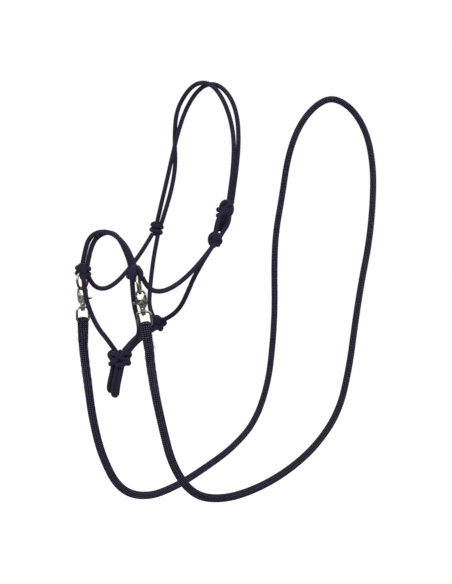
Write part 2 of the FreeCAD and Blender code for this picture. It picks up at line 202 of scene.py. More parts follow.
def even_steps(line, step):
    """Points along a line at equal distances, a whole number of them."""
    lengths = [0.0]
    for before, after in zip(line, line[1:]):
        lengths.append(lengths[-1] + (after - before).length)
    count = max(2, round(lengths[-1] / step))
    places = []
    at = 0
    for i in range(count + 1):
        want = lengths[-1] * i / count
        while at < len(line) - 2 and lengths[at + 1] < want:
            at += 1
        span = lengths[at + 1] - lengths[at] or 1.0
        places.append(line[at].lerp(line[at + 1], (want - lengths[at]) / span))
    return places


def line_length(line):
    return sum((b - a).length for a, b in zip(line, line[1:]))


crown_line = spline_line(ROUTES["crown_cord_front"])
print(f"front crown cord: {line_length(crown_line) / MM:.0f} mm")

# %% [markdown]
# ## A braid
# A braided cord is a sleeve of strands, half of them winding left and half winding right, each
# going over two and under two. The sleeve could be dozens of separate strands, but one tube
# whose rings are placed at a third of a strand each is far lighter: the middle ring point of a
# strand stands up, and the ones between strands sink. The UV map counts turns in u and metres
# in v, so a material can draw the same strands.

# %% Braided tube
CORD = {
    "diameter": 7 * MM, "radius": 4.2 * MM, "strands": 8, "lay": 21 * MM, "relief": 0.9 * MM,
}
REIN = {
    "diameter": 14 * MM, "radius": 7.3 * MM, "strands": 12, "lay": 42 * MM, "relief": 1.3 * MM,
}


def carried_frames(places, first_normal):
    """A tangent, normal and side at each place, turned as little as possible on the way."""
    frames = []
    normal = first_normal
    last = len(places) - 1
    for i in range(len(places)):
        tangent = (places[min(i + 1, last)] - places[max(i - 1, 0)]).normalized()
        normal = (normal - tangent * normal.dot(tangent)).normalized()
        frames.append((tangent, normal, tangent.cross(normal)))
    return frames


def braid_height(around, ring):
    """How high the braid stands at one ring point: 1 on a strand's crest, 0.5 at its side."""
    left = (around + ring) / 3 + 1 / 6
    right = (around - ring) / 3 + 1 / 6
    left_is_over = (math.floor(left) + math.floor(right)) % 4 < 2
    return math.sin(math.pi * ((left if left_is_over else right) % 1.0))


def braid(line, kind, first_normal=Vector((0.13, 0.31, 0.94)), swell=None, flat=None):
    """Vertices, faces and UVs of a braided tube along a line. "swell" gives the radius's share
    at each share of the length, and "flat" the same for the width along the first normal."""
    around = 3 * kind["strands"]
    places = even_steps(line, kind["lay"] / around)
    frames = carried_frames(places, first_normal)
    vertices, faces, uvs = [], [], []
    last = len(places) - 1
    step = line_length(places) / last
    for ring, (place, (tangent, normal, side)) in enumerate(zip(places, frames)):
        share = ring / last
        radius = kind["radius"] * (swell(share) if swell else 1.0)
        wide, thick = flat(share) if flat else (1.0, 1.0)
        for k in range(around):
            angle = 2 * math.pi * k / around
            reach = radius - kind["relief"] * (1 - braid_height(k, ring))
            out = normal * (math.cos(angle) * wide) + side * (math.sin(angle) * thick)
            vertices.append(place + out * reach)
    for ring in range(last):
        for k in range(around):
            a, b = ring * around + k, ring * around + (k + 1) % around
            faces.append((a, b, b + around, a + around))
            low, high = ring * step, (ring + 1) * step
            u, v = k / around, (k + 1) / around
            uvs.append(((u, low), (v, low), (v, high), (u, high)))
    for ring, way in ((0, -1), (last, 1)):
        vertices.append(places[ring] + frames[ring][0] * (kind["radius"] * 0.5 * way))
        for k in range(around):
            a, b = ring * around + k, ring * around + (k + 1) % around
            faces.append((a, b, len(vertices) - 1) if way > 0 else (b, a, len(vertices) - 1))
            uvs.append(((k / around, ring * step),) * 3)
    return vertices, faces, uvs


def on_body(name, mesh, body, stands_for=()):
    """A finished mesh as an object on a body, in place of the model's nodes."""
    piece = bpy.data.objects.new(name, mesh)
    bpy.context.scene.collection.objects.link(piece)
    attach(piece, body)
    if stands_for:
        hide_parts(*stands_for)
    return piece


def make_piece(name, shapes, material, body, stands_for=()):
    """One object from several shapes, smooth, riding on a body."""
    vertices, faces, uvs = [], [], []
    for shape_vertices, shape_faces, shape_uvs in shapes:
        base = len(vertices)
        vertices += shape_vertices
        faces += [tuple(base + i for i in face) for face in shape_faces]
        uvs += shape_uvs
    mesh = bpy.data.meshes.new(name)
    mesh.from_pydata(vertices, [], faces)
    layer = mesh.uv_layers.new(name="lay")
    flat_uvs = [value for face in uvs for corner in face for value in corner]
    layer.data.foreach_set("uv", flat_uvs)
    mesh.polygons.foreach_set("use_smooth", [True] * len(mesh.polygons))
    mesh.materials.append(material)
    return on_body(name, mesh, body, stands_for)

# %% [markdown]
# ## Adding nodes
# Every material here is a small graph. One function adds a node, sets its settings and links or
# sets its sockets. Colours are written as on screen, and turned to the linear values that
# Blender's shaders expect.

# %% Node and colour helpers
def add(tree, kind, inputs=None, **settings):
    """One node with its settings. An input is a value, a socket, or a node's first output."""
    node = tree.nodes.new(kind)
    for name, value in settings.items():
        setattr(node, name, value)
    for key, value in (inputs or {}).items():
        if isinstance(value, bpy.types.Node):
            value = value.outputs[0]
        if isinstance(value, bpy.types.NodeSocket):
            tree.links.new(value, node.inputs[key])
        else:
            node.inputs[key].default_value = value
    return node


def linear(code):
    """A screen colour such as #2a2835 as linear RGBA."""
    shares = [int(code[i:i + 2], 16) / 255 for i in (1, 3, 5)]
    bent = [s / 12.92 if s <= 0.04045 else ((s + 0.055) / 1.055) ** 2.4 for s in shares]
    return (*bent, 1.0)


def new_material(name, settings):
    """An empty material with its tree and its Principled shader."""
    material = bpy.data.materials.new(name)
    material.use_nodes = True
    tree = material.node_tree
    tree.nodes.clear()
    shader = add(tree, "ShaderNodeBsdfPrincipled", settings)
    add(tree, "ShaderNodeOutputMaterial", {"Surface": shader.outputs["BSDF"]})
    return material, tree, shader

# %% [markdown]
# ## Braided polyester
# The cord and the rein are polyester filament braided over a core: dull, dark navy, a little
# hairy. Light and shade are painted into the colour: a painted sheen, a paler lit colour, on
# each strand's crest and painted shade, near black, in the gaps. The strands are drawn from the
# UV map by the same rule that shaped the tube: two sets of slanting bands, and whichever set is
# on top at a place gives its crest. Each strand is a few yarns side by side. Where two cross,
# the top one gets a painted highlight, a pale fleck, whose strength differs at random from
# strand to strand.

# %% Braid material
def braided_polyester(name, kind, gap_shade, crest_lit, fleck_highlight, fuzz, highlight_skipping):
    """Polyester braid: the colours of the painted shade in the gaps, of the lit crests and of the
    painted highlight flecks, and how far the flecks are kept to every other crossing."""
    material, tree, shader = new_material(name, {
        "Roughness": 0.82, "Specular IOR Level": 0.15, "Sheen Weight": 0.05,
        "Sheen Roughness": 0.45,
    })
    uv = add(tree, "ShaderNodeUVMap", uv_map="lay")
    parts = add(tree, "ShaderNodeSeparateXYZ", {0: uv.outputs["UV"]})
    turn = add(
        tree, "ShaderNodeMath", {0: parts.outputs["X"], 1: kind["strands"], 2: 1 / 6},
        operation="MULTIPLY_ADD",
    )
    rise = add(
        tree, "ShaderNodeMath", {0: parts.outputs["Y"], 1: kind["strands"] / kind["lay"]},
        operation="MULTIPLY",
    )
    bands = []
    for slant in ("ADD", "SUBTRACT"):
        band = add(tree, "ShaderNodeMath", {0: turn, 1: rise}, operation=slant)
        across = add(tree, "ShaderNodeMath", {0: band}, operation="FRACT")
        index = add(tree, "ShaderNodeMath", {0: band}, operation="FLOOR")
        bands.append((across.outputs[0], index.outputs[0]))
    (left_across, left_index), (right_across, right_index) = bands
    total = add(tree, "ShaderNodeMath", {0: left_index, 1: right_index}, operation="ADD")
    beat = add(tree, "ShaderNodeMath", {0: total, 1: 4.0}, operation="FLOORED_MODULO")
    left_over = add(tree, "ShaderNodeMath", {0: beat, 1: 2.0}, operation="LESS_THAN")
    across = add(tree, "ShaderNodeMix", {0: left_over, 2: right_across, 3: left_across})
    index = add(tree, "ShaderNodeMix", {0: left_over, 2: right_index, 3: left_index})
    half_wave = add(tree, "ShaderNodeMath", {0: across, 1: math.pi}, operation="MULTIPLY")
    height = add(tree, "ShaderNodeMath", {0: half_wave}, operation="SINE")
    yarn_wave = add(tree, "ShaderNodeMath", {0: half_wave, 1: 3.0}, operation="MULTIPLY")
    yarn = add(tree, "ShaderNodeMath", {0: yarn_wave}, operation="SINE")
    yarn_height = add(tree, "ShaderNodeMath", {0: yarn}, operation="ABSOLUTE")
    place = add(tree, "ShaderNodeTexCoord")
    hairs = add(
        tree, "ShaderNodeTexNoise",
        {"Vector": place.outputs["Object"], "Scale": 1 / (0.9 * MM), "Detail": 3.0},
    )
    relief = add(
        tree, "ShaderNodeMath", {0: yarn_height, 1: 0.22, 2: height},
        operation="MULTIPLY_ADD",
    )
    rough_relief = add(
        tree, "ShaderNodeMath", {0: hairs.outputs["Fac"], 1: fuzz, 2: relief},
        operation="MULTIPLY_ADD",
    )
    bump = add(
        tree, "ShaderNodeBump",
        {"Height": rough_relief, "Strength": 1.0, "Distance": kind["relief"] * 0.8},
    )
    # Painted shade: the low places of the braid's relief, between the strands, take the dark gap
    # colour, and the crests take the lit colour.
    crest_lit_share = add(
        tree, "ShaderNodeMapRange",
        {"Value": relief, "From Min": 0.4, "From Max": 1.12},
        interpolation_type="SMOOTHSTEP",
    )
    # Random strength of the painted highlight, differing from strand to strand.
    strand_noise = add(tree, "ShaderNodeTexWhiteNoise", {"W": index}, noise_dimensions="1D")
    crossings = []
    for band_across in (left_across, right_across):
        wave = add(tree, "ShaderNodeMath", {0: band_across, 1: math.pi}, operation="MULTIPLY")
        crossings.append(add(tree, "ShaderNodeMath", {0: wave}, operation="SINE"))
    crossing = add(
        tree, "ShaderNodeMath",
        {0: crossings[0], 1: crossings[1]}, operation="MULTIPLY",
    )
    # Painted highlight: a pale fleck on the peak where two strands cross.
    top = add(
        tree, "ShaderNodeMapRange",
        {"Value": crossing, "From Min": 0.3, "From Max": 0.85},
        interpolation_type="SMOOTHSTEP",
    )
    parity = add(tree, "ShaderNodeMath", {0: total, 1: 2.0}, operation="FLOORED_MODULO")
    # Keeps the painted highlight to every other crossing, and weakens or drops it on the rest.
    highlight_kept = add(
        tree, "ShaderNodeMapRange",
        {"Value": parity, "To Min": 1.0, "To Max": 1.0 - highlight_skipping},
    )
    highlight_strength = add(
        tree, "ShaderNodeMapRange", {"Value": strand_noise.outputs["Value"], "To Min": 0.6, "To Max": 1.0},
    )
    strand_highlight = add(tree, "ShaderNodeMath", {0: highlight_strength, 1: top}, operation="MULTIPLY")
    highlight_share = add(tree, "ShaderNodeMath", {0: strand_highlight, 1: highlight_kept}, operation="MULTIPLY")
    strand = add(
        tree, "ShaderNodeMix",
        {0: crest_lit_share, 6: linear(gap_shade), 7: linear(crest_lit)}, data_type="RGBA",
    )
    colour = add(
        tree, "ShaderNodeMix",
        {0: highlight_share, 6: strand.outputs[2], 7: linear(fleck_highlight)}, data_type="RGBA",
    )
    tree.links.new(colour.outputs[2], shader.inputs["Base Color"])
    tree.links.new(bump.outputs["Normal"], shader.inputs["Normal"])
    return material


# Colours of each braid: painted shade in the gaps, the lit crest, and the painted highlight fleck.
cord_material = braided_polyester(
    "braided polyester halter cord", CORD, "#100e1a", "#2f2a43", "#3d3857", 0.25, 0.5
)
rein_material = braided_polyester(
    "braided polyester rein rope", REIN, "#030206", "#0b0913", "#76719f", 0.15, 1.0
)
print("fibres:", cord_material.name, "and", rein_material.name)

# %% [markdown]
# ## The halter's cords and the rein
# Each cord's length is measured along the line it is drawn along and printed. The halter's
# cords all run from one knot to another. The rein leaves the spliced end of one snap and goes
# back into the other.

# %% Cords
def make_cord(name, route, kind):
    line = spline_line(route)
    material = rein_material if kind is REIN else cord_material
    shape = braid(line, kind)
    piece = make_piece(
        f"{name}_braid", [shape], material, "root",
        [name],
    )
    return line_length(line)


for cord_name, cord_route in ROUTES.items():
    cord_length = make_cord(cord_name, cord_route, CORD)
    print(f"{cord_name}: {cord_length / MM:.0f} mm")
rein_length = make_cord("rein_rope", REIN_ROUTE, REIN)
print(f"rein: {rein_length:.2f} m")

# %% [markdown]
# ## Wound knots
# In the nose and cheek knots the cord goes round the others twice, with its ends tucked in. A
# knot could be sculpted, but its real form is a winding, so a loop works out its route: an oval
# that drops a little each turn. Where a row lies level in front, it drops only at the back. The
# routes become the same smooth lines and the same braid as the cords.

# %% Windings and weaves
def vec(x, y, z):
    return Vector((x, y, z)) * MM


def boxed(value, power):
    """A cosine or sine pushed outwards, to make an oval's ends fuller."""
    return math.copysign(abs(value) ** power, value)


def wound(centre, way, stack, reach, depth, pitch, turns, start=0.0, level=0.0, tuck=0.3):
    """A cord's line wound round a knot, as wide as "reach" along "way", with its ends tucked in."""
    stack = stack.normalized()
    way = (way - stack * way.dot(stack)).normalized()
    across = stack.cross(way)
    per_turn = 12
    count = round(per_turn * turns)
    fuller = 1.04
    points = []
    for i in range(count + 1):
        turn = turns * i / count
        angle = 2 * math.pi * (start + turn)
        from_end = min(1.0, 4 * min(turn, turns - turn))
        size = fuller * (tuck + (1 - tuck) * math.sin(from_end * math.pi / 2))
        drop = turn - turns / 2 - level * math.sin(angle) / (2 * math.pi)
        points.append(
            centre
            + way * (reach * MM * size * boxed(math.sin(angle), 0.8))
            - across * (depth * MM * size * boxed(math.cos(angle), 0.8))
            - stack * (pitch * MM * drop)
        )
    return spline_line(points)


def woven(centre, way, stack, reach, depth, height, bulge, bights, start=0.0):
    """A closed three-strand weave round a knot, like a small Turk's head."""
    leads = 3
    stack = stack.normalized()
    way = (way - stack * way.dot(stack)).normalized()
    across = stack.cross(way)
    count = 10 * bights * 2
    points = []
    for i in range(count + 1):
        turn = 2 * math.pi * leads * i / count
        swing = bights * turn / leads - math.pi / 4
        out = bulge * math.sin(2 * swing)
        angle = turn + start
        points.append(
            centre
            + way * ((reach + out) * MM * math.cos(angle))
            + across * ((depth + out) * MM * math.sin(angle))
            + stack * (height * MM * math.cos(swing))
        )
    return spline_line(points)


KNOT_CORD = dict(CORD, radius=4.3 * MM)


def cord_end(share):
    """A cut end, melted to a blunt tip."""
    return 1.0 - 0.35 * max(0.0, (share - 0.9) / 0.1) ** 2


def make_knot(name, stands_for, lines, tails=()):
    shapes = [braid(line, KNOT_CORD) for line in lines]
    shapes += [braid(line, CORD, swell=cord_end) for line in tails]
    piece = make_piece(name, shapes, cord_material, "root", [stands_for])
    print(f"{name}: {len(shapes)} strands, {len(piece.data.polygons)} faces")


# %% [markdown]
# ## The nose and cheek knots
# In the right nose knot two level rows lie one on the other. The left one is turned so that a
# bight stands up at its side, with the ring hanging beside it. Short straight strands fill the
# heart of the left nose knot and of the cheek knot, where the other cords go through.

# %% Two-row knots
UP = Vector((0, 0, 1))
right_nose = vec(-64, -240, -334)
left_nose = vec(64, -240, -334)
ACROSS_VIEW = Vector((0.766, 0.643, 0))
TOWARDS_VIEW = Vector((0.643, -0.766, 0))


def around(centre, places):
    """A line through given places, each so far to the side, to the front and up."""
    return spline_line([
        centre + ACROSS_VIEW * (a * MM) + TOWARDS_VIEW * (t * MM) + UP * (z * MM)
        for a, t, z in places
    ])


def heart(centre, way, stack, spread, half_height):
    """Two strands through a knot's middle."""
    stack = stack.normalized()
    lines = []
    for side in (-1, 1):
        offset = way.normalized() * (side * spread * MM)
        steps = [centre + offset + stack * (half_height * MM * s) for s in (1, 0.3, -0.3, -1)]
        lines.append(spline_line(steps))
    return lines


make_knot(
    "right_nose_knot_turns", "right_nose_knot",
    [
        wound(right_nose, Vector((0.35, 0.93, 0)), UP, 10.2, 3.2, 9.0, 2.0, 0.5, 0.9),
        around(right_nose, ((-4, 0, 10), (-3, 6.5, 6), (-3, 7.5, 0), (-2, 6, -6), (-1, 1, -12))),
        around(right_nose, ((3, 0, 10), (3.5, 6, 6), (3.5, 7, 0), (4, 6, -6), (5, 2, -12))),
    ],
)
left_rows = left_nose - ACROSS_VIEW * (2 * MM) - UP * (1.5 * MM)
make_knot(
    "left_nose_knot_turns", "left_nose_knot",
    [
        wound(left_rows, Vector((0.45, 0.89, 0.05)), UP, 9.4, 3.2, 9.0, 2.0, 0.5, 0.9),
        around(left_nose, ((-5, 0, 11), (-5.5, 6, 6), (-6, 7, 0), (-5.5, 6.5, -6), (-5, 2, -12))),
        around(left_nose, ((0, 0, 11), (-1, 6, 7), (-2, 6.5, 0), (-2.5, 5, -6), (-3, 1, -12))),
        around(left_nose, (
            (-5, 1, 5), (-2, 2.5, 7.5), (3, 3, 8), (7, 3, 5.5), (9, 2.5, 0), (8.5, 2, -5),
            (6, 0, -10), (2, -2, -11),
        )),
        *heart(left_nose, Vector((0.3, 0.95, 0)), UP, 4.0, 11),
    ],
)
cheek_centre = vec(-74, -54, -261)
make_knot(
    "right_cheek_knot_turns", "right_cheek_knot",
    [
        wound(
            cheek_centre, Vector((0.45, 0.89, -0.24)), Vector((0.14, 0.12, 1)), 9.0, 6.0, 9.8,
            2.0, 0.5, 0.9,
        ),
        *heart(cheek_centre, Vector((0.2, 0.95, 0)), Vector((0, -0.1, 1)), 4.0, 12),
    ],
)

# %% [markdown]
# ## The loop knot, the throat knot and the fiador knot
# These are tied in doubled cord, so their strands weave over and under each other. The loop
# knot is drawn from listed points, a tall bight on one side and two lobes on the other. A weave
# of three strands round a barrel is a Turk's head: its line swings up and down as it goes round,
# and moves in and out twice as often, which is what takes it over and under. The fiador knot is
# the largest, with the two lead loops hanging out of it.

# %% Woven knots
loop_centre = vec(74, -56, -281)
make_knot(
    "left_loop_knot_turns", "left_loop_knot",
    [
        around(loop_centre, (
            (0, 3, 11), (-6, 4, 9.5), (-10, 4, 4), (-10, 4, -4), (-6.5, 4, -9.5), (-1, 1, -11),
        )),
        around(loop_centre, (
            (-7, 3, -8), (-5, 6.5, -3), (-1, 8, 3), (4, 7.5, 3), (8.5, 5, -1.5), (7, 1, -6),
            (2, -3, -7),
        )),
        around(loop_centre, (
            (-5, 4, -2), (-1, 6.5, -5), (3, 6.5, -7.5), (5, 2, -10), (1, -2, -8),
        )),
        around(loop_centre, (
            (-5, 5, 5), (-1, 6.5, 8), (4, 6, 7), (7.5, 2, 4), (6, -4, 2), (-1, -6.5, 2),
            (-7, -4, 4), (-8, 1, 2),
        )),
        *heart(loop_centre, Vector((0.3, 0.95, 0)), Vector((0, 0.1, 1)), 3.2, 11),
    ],
)
throat_centre = vec(-3, -122, -428)
make_knot(
    "throat_knot_weave", "throat_knot",
    [
        woven(
            throat_centre, Vector((0.75, 0.6, -0.3)), Vector((0.35, 0.3, 0.85)), 8.2, 6.2, 8.0,
            1.9, 4, 0.2,
        ),
        *heart(throat_centre, Vector((0.7, 0.6, -0.3)), Vector((0.2, 0.3, 0.9)), 3.2, 10),
    ],
)
fiador_centre = vec(0, -217, -479)
make_knot(
    "fiador_knot_weave", "fiador_knot",
    [
        woven(fiador_centre, ACROSS_VIEW, UP, 14.6, 11.5, 9.6, 2.4, 4, 0.35),
        *heart(fiador_centre, ACROSS_VIEW, UP, 7.0, 12),
        *heart(fiador_centre, TOWARDS_VIEW, UP, 6.0, 12),
        spline_line([fiador_centre + UP * (z * MM) for z in (12, 5, -5, -12)]),
    ],
)

# %% [markdown]
# ## The crown tie
# The crown's doubled end is tied to the loop with a sheet bend: up through the loop, round its
# neck, and back under itself. Its two tails lie along the loop, between its legs. The strands
# cross the front on a slant, so their routes are listed one by one.

# %% Crown tie
tie_centre = vec(74, -29, -227)
make_knot(
    "crown_tie_bend", "crown_tie_knot",
    [
        around(tie_centre, (
            (-9, 3, -2), (-8, 5, 4), (-6, 6, 9), (-2, 7, 12.5), (3, 6, 12.5), (8, 4, 8),
        )),
        around(tie_centre, (
            (5, -1, 14), (9, 1, 9.5), (11, 3, 3), (10.5, 3, -4), (7.5, 2, -10), (4, 0, -15),
        )),
        around(tie_centre, (
            (3, -6, -2), (-6, -5, -3), (-12, -2, -2), (-14, 3, -1), (-9, 7, -1), (-4, 8.5, 0),
            (1, 8, 3), (5, 7, 8), (8, 3, 12),
        )),
        around(tie_centre, (
            (8, -3, -8), (0, -6, -9), (-8, -4, -10), (-14.5, 1, -11.5), (-12, 6, -11.5),
            (-6, 8, -10), (0, 8.5, -8), (5, 7.5, -4), (9, 5, 2),
        )),
        *heart(tie_centre, ACROSS_VIEW, UP, 3.6, 13),
    ],
    tails=[
        around(tie_centre, ((1, 5, -4), (-4, 6, -13), (-8, 5, -22), (-11, 4, -31), (-13, 2, -39))),
        around(tie_centre, ((5, 2, -8), (2, 2, -16), (-2, 2, -24), (-5, 1, -32), (-8, 0, -40))),
    ],
)

# %% [markdown]
# ## Drawing hardware where it hangs
# Rings, snaps and rein ends are easiest to draw hanging straight down from the ring's top, in
# millimetres, with the trigger's lever towards +X. The joint says where each one hangs and along
# which axis, and a matrix takes the drawing there.

# %% Hanging matrix
LEVERS = {"right": Vector((0.766, 0.643, 0)), "left": Vector((-0.766, -0.643, 0))}
SWIVEL_TURN = {"right": 35.0, "left": 0.0}
RING_TURN = {"right": -24.0, "left": 0.0}
joints = {joint["name"]: joint for joint in frame["joints"]}


def hanging(side, turn=0.0):
    """Takes a drawing in millimetres to its place on the halter."""
    joint = joints[f"{side}_snap_swivel"]
    up = Vector(joint["axis"]).normalized()
    lever = (LEVERS[side] - up * LEVERS[side].dot(up)).normalized()
    axes = Matrix((lever, up.cross(lever), up)).transposed().to_4x4()
    spin = Matrix.Rotation(math.radians(turn), 4, "Z")
    return Matrix.Translation(joint["pos_m"]) @ axes @ spin @ Matrix.Scale(MM, 4)


RING_PITCH_R = 15.5
EYE_Z = -33.9
HUB_TOP = -59.05
HUB_HEIGHT = 5.6
SWIVEL_BAR = -85.85
SPLICE_TOP = SWIVEL_BAR - 26

# %% [markdown]
# ## The rein's spliced ends
# Each end of the rein is pressed flat, folded round the swivel's bar and spliced back into
# itself: its strands are tucked under the rope's own, so the splice starts thick and uneven and
# tapers to the plain rope. The fold and the splice are the same braid, widened along the bar and
# swollen by a falling curve with a small lump at every tuck.

# %% Rein ends
ROPE_STEP = 5 * MM
SPLICE_STEPS = 13


def tucks(share):
    """The splice's swelling, with a lump at each tuck."""
    taper = 1.12 - 0.12 * share ** 0.8
    return taper + 0.035 * math.sin(2 * math.pi * 6.5 * share) * (1 - share)


for side in LEVERS:
    place = hanging(side, SWIVEL_TURN[side])
    fold = [
        place @ Vector((0, y, SWIVEL_BAR + z))
        for y, z in (
            (-2.8, -36), (-3.2, -26), (-4.2, -16), (-5.1, -7), (-5.1, 0), (-5.1, 5.1),
            (5.1, 5.1), (5.1, 0), (5.1, -7), (4.2, -16), (3.2, -26), (2.8, -36),
        )
    ]
    bar_way = (place @ Vector((1, 0, 0)) - place @ Vector((0, 0, 0))).normalized()
    fold_shape = braid(
        spline_line(fold), REIN, first_normal=bar_way, flat=lambda share: (1.1, 0.4)
    )
    rope = spline_line(REIN_ROUTE if side == "right" else REIN_ROUTE[::-1])
    rope = even_steps(rope, ROPE_STEP)
    top = place @ Vector((0, 0, SPLICE_TOP + 9))
    splice = [top, place @ Vector((0, 0, SPLICE_TOP - 4)), place @ Vector((0, 0, SPLICE_TOP - 16))]
    below = [p for p in rope if p.z < splice[-1].z - 8 * MM]
    splice += below[:SPLICE_STEPS]
    splice_shape = braid(spline_line(splice), REIN, first_normal=bar_way, swell=tucks)
    make_piece(
        f"{side}_rein_splice", [fold_shape, splice_shape], rein_material, "root",
        [f"{side}_rein_eye"],
    )
    print(f"{side} splice: {line_length(splice) / MM:.0f} mm")

# %% [markdown]
# ## Cast and plated metal
# The snaps are cast zinc plated with antique nickel: a warm grey with a slightly grainy cast
# surface. On the real snaps the finish was left dark in the low places; here the dark and the
# light tone are spread in random patches instead. The rings are brighter plated steel and the
# pins are plain steel. All three are one graph with different colours and grain.

# %% Metals
def plated_metal(name, dark, bright, roughness, grain, depth):
    """A metal whose colour wanders between two tones over a grainy surface."""
    material, tree, shader = new_material(name, {"Metallic": 1.0})
    place = add(tree, "ShaderNodeTexCoord")
    wear = add(
        tree, "ShaderNodeTexNoise",
        {"Vector": place.outputs["Object"], "Scale": 1 / (5 * MM), "Detail": 5.0, "Roughness": 0.6},
    )
    casting = add(
        tree, "ShaderNodeTexNoise",
        {"Vector": place.outputs["Object"], "Scale": 1 / (grain * MM), "Detail": 3.0},
    )
    worn = add(
        tree, "ShaderNodeMapRange",
        {"Value": wear.outputs["Fac"], "From Min": 0.38, "From Max": 0.62},
        interpolation_type="SMOOTHSTEP",
    )
    colour = add(
        tree, "ShaderNodeMix", {0: worn, 6: linear(dark), 7: linear(bright)},
        data_type="RGBA",
    )
    dulled = add(
        tree, "ShaderNodeMapRange",
        {"Value": casting.outputs["Fac"], "To Min": roughness - 0.08, "To Max": roughness + 0.14},
    )
    bump = add(
        tree, "ShaderNodeBump",
        {"Height": casting.outputs["Fac"], "Strength": 1.0, "Distance": depth * MM},
    )
    tree.links.new(colour.outputs[2], shader.inputs["Base Color"])
    tree.links.new(dulled.outputs[0], shader.inputs["Roughness"])
    tree.links.new(bump.outputs["Normal"], shader.inputs["Normal"])
    return material


snap_metal = plated_metal(
    "antique nickel plated zinc casting", "#6f6a5f", "#c4beaf", 0.24, 0.8, 0.03
)
ring_metal = plated_metal("nickel plated steel wire", "#6f6a5f", "#b9b3a6", 0.18, 2.5, 0.012)
pin_metal = plated_metal("plain steel pin", "#807c76", "#a9a6a0", 0.34, 0.9, 0.01)

# %% [markdown]
# ## Metal shapes
# Three small functions draw what the metal is made of: a wire along a path, a shape turned round
# an axis, and a flat plate with an outline. A casting has no sharp inner corners, so its pieces
# are put together, remeshed as one skin and smoothed a little, which leaves the small fillets
# that a mould leaves.

# %% Wires, turned shapes and plates
def ring_faces(count, sides, closed=False):
    """Faces between rings of points, with both ends capped unless the rings close."""
    faces = []
    for i in range(count if closed else count - 1):
        low, high = i * sides, (i + 1) % count * sides
        for k in range(sides):
            faces.append((low + k, low + (k + 1) % sides, high + (k + 1) % sides, high + k))
    if not closed:
        faces.append(tuple(range(sides))[::-1])
        faces.append(tuple((count - 1) * sides + k for k in range(sides)))
    return faces


def wire(path, radius, closed=False, sides=20):
    """A round wire along a path, in millimetres."""
    places = [Vector(p) for p in path]
    last = len(places) - 1
    normal = Vector((0.1, 1, 0.02))
    vertices = []
    for i, place in enumerate(places):
        before = places[i - 1] if closed or i else place
        after = places[(i + 1) % len(places)] if closed or i < last else place
        tangent = (after - before).normalized()
        normal = (normal - tangent * normal.dot(tangent)).normalized()
        side = tangent.cross(normal)
        for k in range(sides):
            angle = 2 * math.pi * k / sides
            out = normal * math.cos(angle) + side * math.sin(angle)
            vertices.append(place + out * radius)
    return vertices, ring_faces(len(places), sides, closed)


def turned(profile, centre=(0, 0, 0), sides=40, y_axis=False):
    """A shape turned round an upright axis, or a level one, from its radii and heights."""
    vertices = []
    for radius, height in profile:
        for k in range(sides):
            angle = 2 * math.pi * k / sides
            a, b = radius * math.cos(angle), radius * math.sin(angle)
            spot = (b, height, a) if y_axis else (a, b, height)
            vertices.append(Vector(spot) + Vector(centre))
    return vertices, ring_faces(len(profile), sides)


def plate(outline, low, high, bevel=0.0):
    """A flat plate seen along Y, from one Y to the other, with rounded edges."""
    shape = bmesh.new()
    ends = [[shape.verts.new((x, y, z)) for x, z in outline] for y in (low, high)]
    shape.faces.new(ends[0])
    shape.faces.new(ends[1][::-1])
    for i in range(len(outline)):
        j = (i + 1) % len(outline)
        shape.faces.new((ends[0][j], ends[0][i], ends[1][i], ends[1][j]))
    if bevel:
        bmesh.ops.bevel(
            shape, geom=shape.edges[:], offset=bevel, segments=3, profile=0.5, affect="EDGES"
        )
    bmesh.ops.recalc_face_normals(shape, faces=shape.faces[:])
    shape.verts.index_update()
    vertices = [v.co.copy() for v in shape.verts]
    faces = [tuple(v.index for v in face.verts) for face in shape.faces]
    shape.free()
    return vertices, faces


def metal_piece(name, shapes, place, material, body, stands_for=(), skin=None):
    """One metal object; with a skin, its shapes are first made into one smooth casting."""
    mesh = bpy.data.meshes.new(name)
    vertices, faces = [], []
    for shape_vertices, shape_faces in shapes:
        faces += [tuple(len(vertices) + i for i in face) for face in shape_faces]
        vertices += shape_vertices
    mesh.from_pydata(vertices, [], faces)
    if skin:
        rough = bpy.data.objects.new(name, mesh)
        bpy.context.scene.collection.objects.link(rough)
        remesh = rough.modifiers.new("skin", "REMESH")
        remesh.mode = "VOXEL"
        remesh.voxel_size = skin
        soften = rough.modifiers.new("soften", "SMOOTH")
        soften.iterations = 3
        mesh = evaluated_mesh(rough)
        bpy.data.objects.remove(rough)
    mesh.transform(place)
    mesh.polygons.foreach_set("use_smooth", [True] * len(mesh.polygons))
    mesh.set_sharp_from_angle(angle=math.radians(38))
    mesh.materials.clear()
    mesh.materials.append(material)
    on_body(name, mesh, body, stands_for)


def evaluated_mesh(thing):
    """The mesh that an object's modifiers make, as a mesh of its own."""
    bpy.context.view_layer.update()
    graph = bpy.context.evaluated_depsgraph_get()
    return bpy.data.meshes.new_from_object(thing.evaluated_get(graph))

# %% [markdown]
# ## Rings
# Each ring is a closed loop of steel wire, hung by its top in the nose knot.

# %% Rings
RING_WIRE_R = 2.0
for side in LEVERS:
    circle = []
    for i in range(96):
        angle = 2 * math.pi * i / 96
        circle.append((0, RING_PITCH_R * math.sin(angle), -RING_PITCH_R * (1 - math.cos(angle))))
    metal_piece(
        f"{side}_ring_wire", [wire(circle, RING_WIRE_R, closed=True)],
        hanging(side, RING_TURN[side]), ring_metal, f"{side}_ring",
        [f"{side}_ring"],
    )
    print(f"{side} ring: {2 * (RING_PITCH_R - RING_WIRE_R):.0f} mm inside")

# %% [markdown]
# ## Snap bodies
# A snap's body is an open eye above a slotted spine, with a collar and a stem below it. The
# trigger closes the eye from the lever's side. The slot's two cheeks stand each side of the
# trigger, and a web joins them at the back and at the foot.

